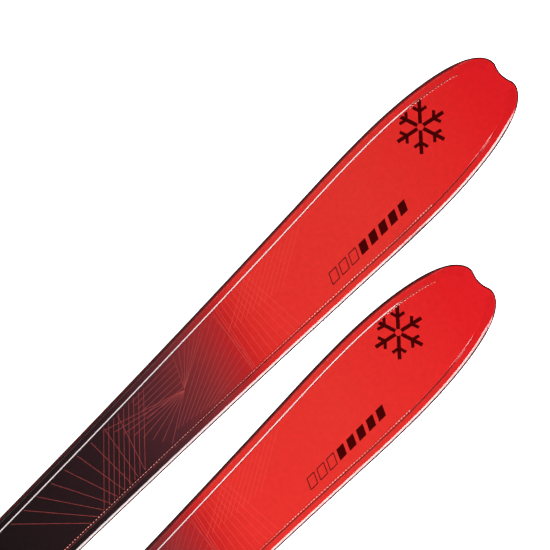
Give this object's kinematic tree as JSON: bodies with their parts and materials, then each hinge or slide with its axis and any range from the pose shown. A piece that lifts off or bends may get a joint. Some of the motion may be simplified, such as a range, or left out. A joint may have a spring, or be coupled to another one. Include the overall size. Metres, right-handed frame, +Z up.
{
  "type": "pair of touring skis",
  "caption": "Two light touring skis side by side: laminated, cambered, with curled notched tips, steel edges, sloped sidewalls and a grooved red top sheet.",
  "frame": {"origin": "centre of the pair's footprint on the ground the skis rest on", "axes": "+X along the skis towards the tips, +Y towards the left ski, +Z up"},
  "size_m": [1.869, 0.252, 0.0474],
  "materials": {
    "top_sheet": "glossy red lacquered sheet fading to near black at the waist, with a fine weave showing through",
    "base": "sintered polyethylene with a fine stone-ground structure",
    "edge_steel": "ground steel",
    "rubber": "thin vulcanised strip",
    "glass_laminate": "glass-fibre and resin",
    "stringer_wood": "straight-grained light wood",
    "honeycomb": "resin-dipped aramid paper cells",
    "block_wood": "dense laminated wood",
    "plate_alloy": "etched alloy sheet",
    "spacer": "moulded plastic filler",
    "sidewall": "sloped, polished plastic, dark",
    "protector_alloy": "bead-blasted alloy"
  },
  "bodies": {
    "left_ski": {"left_running_base": "base", "left_outer_steel_edge": "edge_steel", "left_inner_steel_edge": "edge_steel", "left_outer_edge_damper": "rubber", "left_inner_edge_damper": "rubber", "left_lower_laminate": "glass_laminate", "left_outer_stringer": "stringer_wood", "left_inner_stringer": "stringer_wood", "left_front_honeycomb": "honeycomb", "left_rear_honeycomb": "honeycomb", "left_binding_block": "block_wood", "left_binding_plate": "plate_alloy", "left_tip_spacer": "spacer", "left_tail_spacer": "spacer", "left_outer_sidewall": "sidewall", "left_inner_sidewall": "sidewall", "left_upper_laminate": "glass_laminate", "left_top_sheet": "top_sheet", "left_tail_protector": "protector_alloy"},
    "right_ski": {"right_running_base": "base", "right_outer_steel_edge": "edge_steel", "right_inner_steel_edge": "edge_steel", "right_outer_edge_damper": "rubber", "right_inner_edge_damper": "rubber", "right_lower_laminate": "glass_laminate", "right_outer_stringer": "stringer_wood", "right_inner_stringer": "stringer_wood", "right_front_honeycomb": "honeycomb", "right_rear_honeycomb": "honeycomb", "right_binding_block": "block_wood", "right_binding_plate": "plate_alloy", "right_tip_spacer": "spacer", "right_tail_spacer": "spacer", "right_outer_sidewall": "sidewall", "right_inner_sidewall": "sidewall", "right_upper_laminate": "glass_laminate", "right_top_sheet": "top_sheet", "right_tail_protector": "protector_alloy"}
  },
  "joints": [
    {"name": "stride_slide", "type": "slide", "parent": "left_ski", "child": "right_ski", "axis": [1, 0, 0], "range_m": [-0.281, 0.619]}
  ]
}
